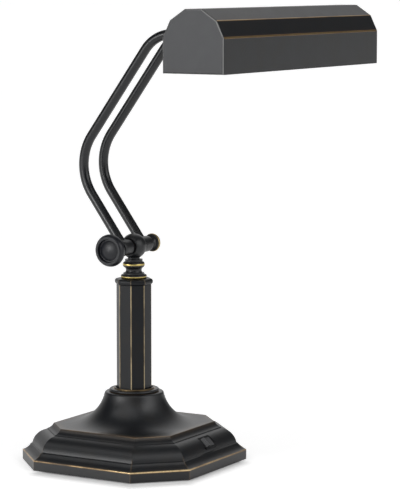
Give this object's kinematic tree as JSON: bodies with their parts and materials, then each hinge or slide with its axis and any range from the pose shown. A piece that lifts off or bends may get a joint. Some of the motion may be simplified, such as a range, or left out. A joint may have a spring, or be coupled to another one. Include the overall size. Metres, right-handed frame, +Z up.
{
  "type": "piano lamp",
  "caption": "Piano and desk lamp: eight-sided weighted foot and column, friction knuckle with a lock knob, twin bent tubes, and a long faceted tilting shade over two tubular bulbs.",
  "frame": {"origin": "on the table, under the axis of the column", "axes": "+X along the shade, -Y the side that the lamp faces, +Z up"},
  "size_m": [0.332, 0.3089, 0.4842],
  "materials": {
    "bronze_casting": "satin dark bronze paint, rubbed to gold along the edges",
    "bronze_column": "satin dark bronze paint, gold lines on the eight edges",
    "bronze_turned": "satin dark bronze paint, gold lines on the beads",
    "bronze_tube": "satin dark bronze paint",
    "bronze_shade": "satin dark bronze paint outside, white enamel inside",
    "knob_plastic": "satin dark paint",
    "raw_iron": "as cast",
    "zinc_steel": "zinc plated",
    "brass": "plain",
    "bulb_cap": "bright",
    "solder": "dull",
    "felt": "dark felt",
    "fibre": "red fibre",
    "black_plastic": "fine matt",
    "rocker_plastic": "soft gloss",
    "phenolic": "dark moulded phenolic",
    "frosted_glass": "frosted white"
  },
  "bodies": {
    "base": {"base_casting": "bronze_casting", "base_weight": "raw_iron", "bottom_cover": "zinc_steel", "felt_pad": "felt", "cover_screws": "zinc_steel", "cord_bushing": "black_plastic", "switch_housing": "black_plastic", "switch_terminals": "brass", "column_seat": "bronze_turned", "column_tube": "bronze_column", "column_cap": "bronze_column", "threaded_rod": "zinc_steel", "rod_washer": "zinc_steel", "rod_nut": "zinc_steel", "neck": "bronze_turned", "knuckle_ball": "bronze_turned"},
    "rocker": {"switch_rocker": "rocker_plastic"},
    "arm": {"lower_axle": "zinc_steel", "lower_washers": "fibre", "lower_hub_left": "bronze_turned", "lower_hub_right": "bronze_turned", "arm_tube_left": "bronze_tube", "arm_tube_right": "bronze_tube", "end_knob": "bronze_turned", "upper_axle": "zinc_steel", "upper_washers": "fibre", "upper_hub_left": "bronze_turned", "upper_hub_right": "bronze_turned", "upper_caps": "bronze_turned"},
    "knob": {"lock_knob": "knob_plastic", "knob_insert": "brass"},
    "shade": {"shade_knuckle": "bronze_turned", "shade_flange": "bronze_turned", "shade_nipple": "zinc_steel", "shade_nut": "zinc_steel", "shade_shell": "bronze_shade", "end_cap_left": "bronze_shade", "end_cap_right": "bronze_shade", "socket_cluster": "phenolic", "socket_left": "phenolic", "socket_right": "phenolic", "screw_shells": "brass", "socket_contacts": "brass", "bulb_glass_left": "frosted_glass", "bulb_glass_right": "frosted_glass", "bulb_caps": "bulb_cap", "bulb_contacts": "solder"}
  },
  "joints": [
    {"name": "arm_tilt", "type": "hinge", "parent": "base", "child": "arm", "pos_m": [0, 0, 0.2305], "axis": [1, 0, 0], "range_deg": [-40, 45]},
    {"name": "shade_tilt", "type": "hinge", "parent": "arm", "child": "shade", "pos_m": [0, -0.116, 0.449], "axis": [1, 0, 0], "range_deg": [-60, 60]},
    {"name": "knob_turn", "type": "hinge", "parent": "arm", "child": "knob", "pos_m": [0, 0, 0.2305], "axis": [1, 0, 0], "continuous": true},
    {"name": "rocker_tip", "type": "hinge", "parent": "base", "child": "rocker", "pos_m": [0.002, -0.08749, 0.02609], "axis": [0, 0.7309, 0.6825], "range_deg": [-20, 0]}
  ]
}
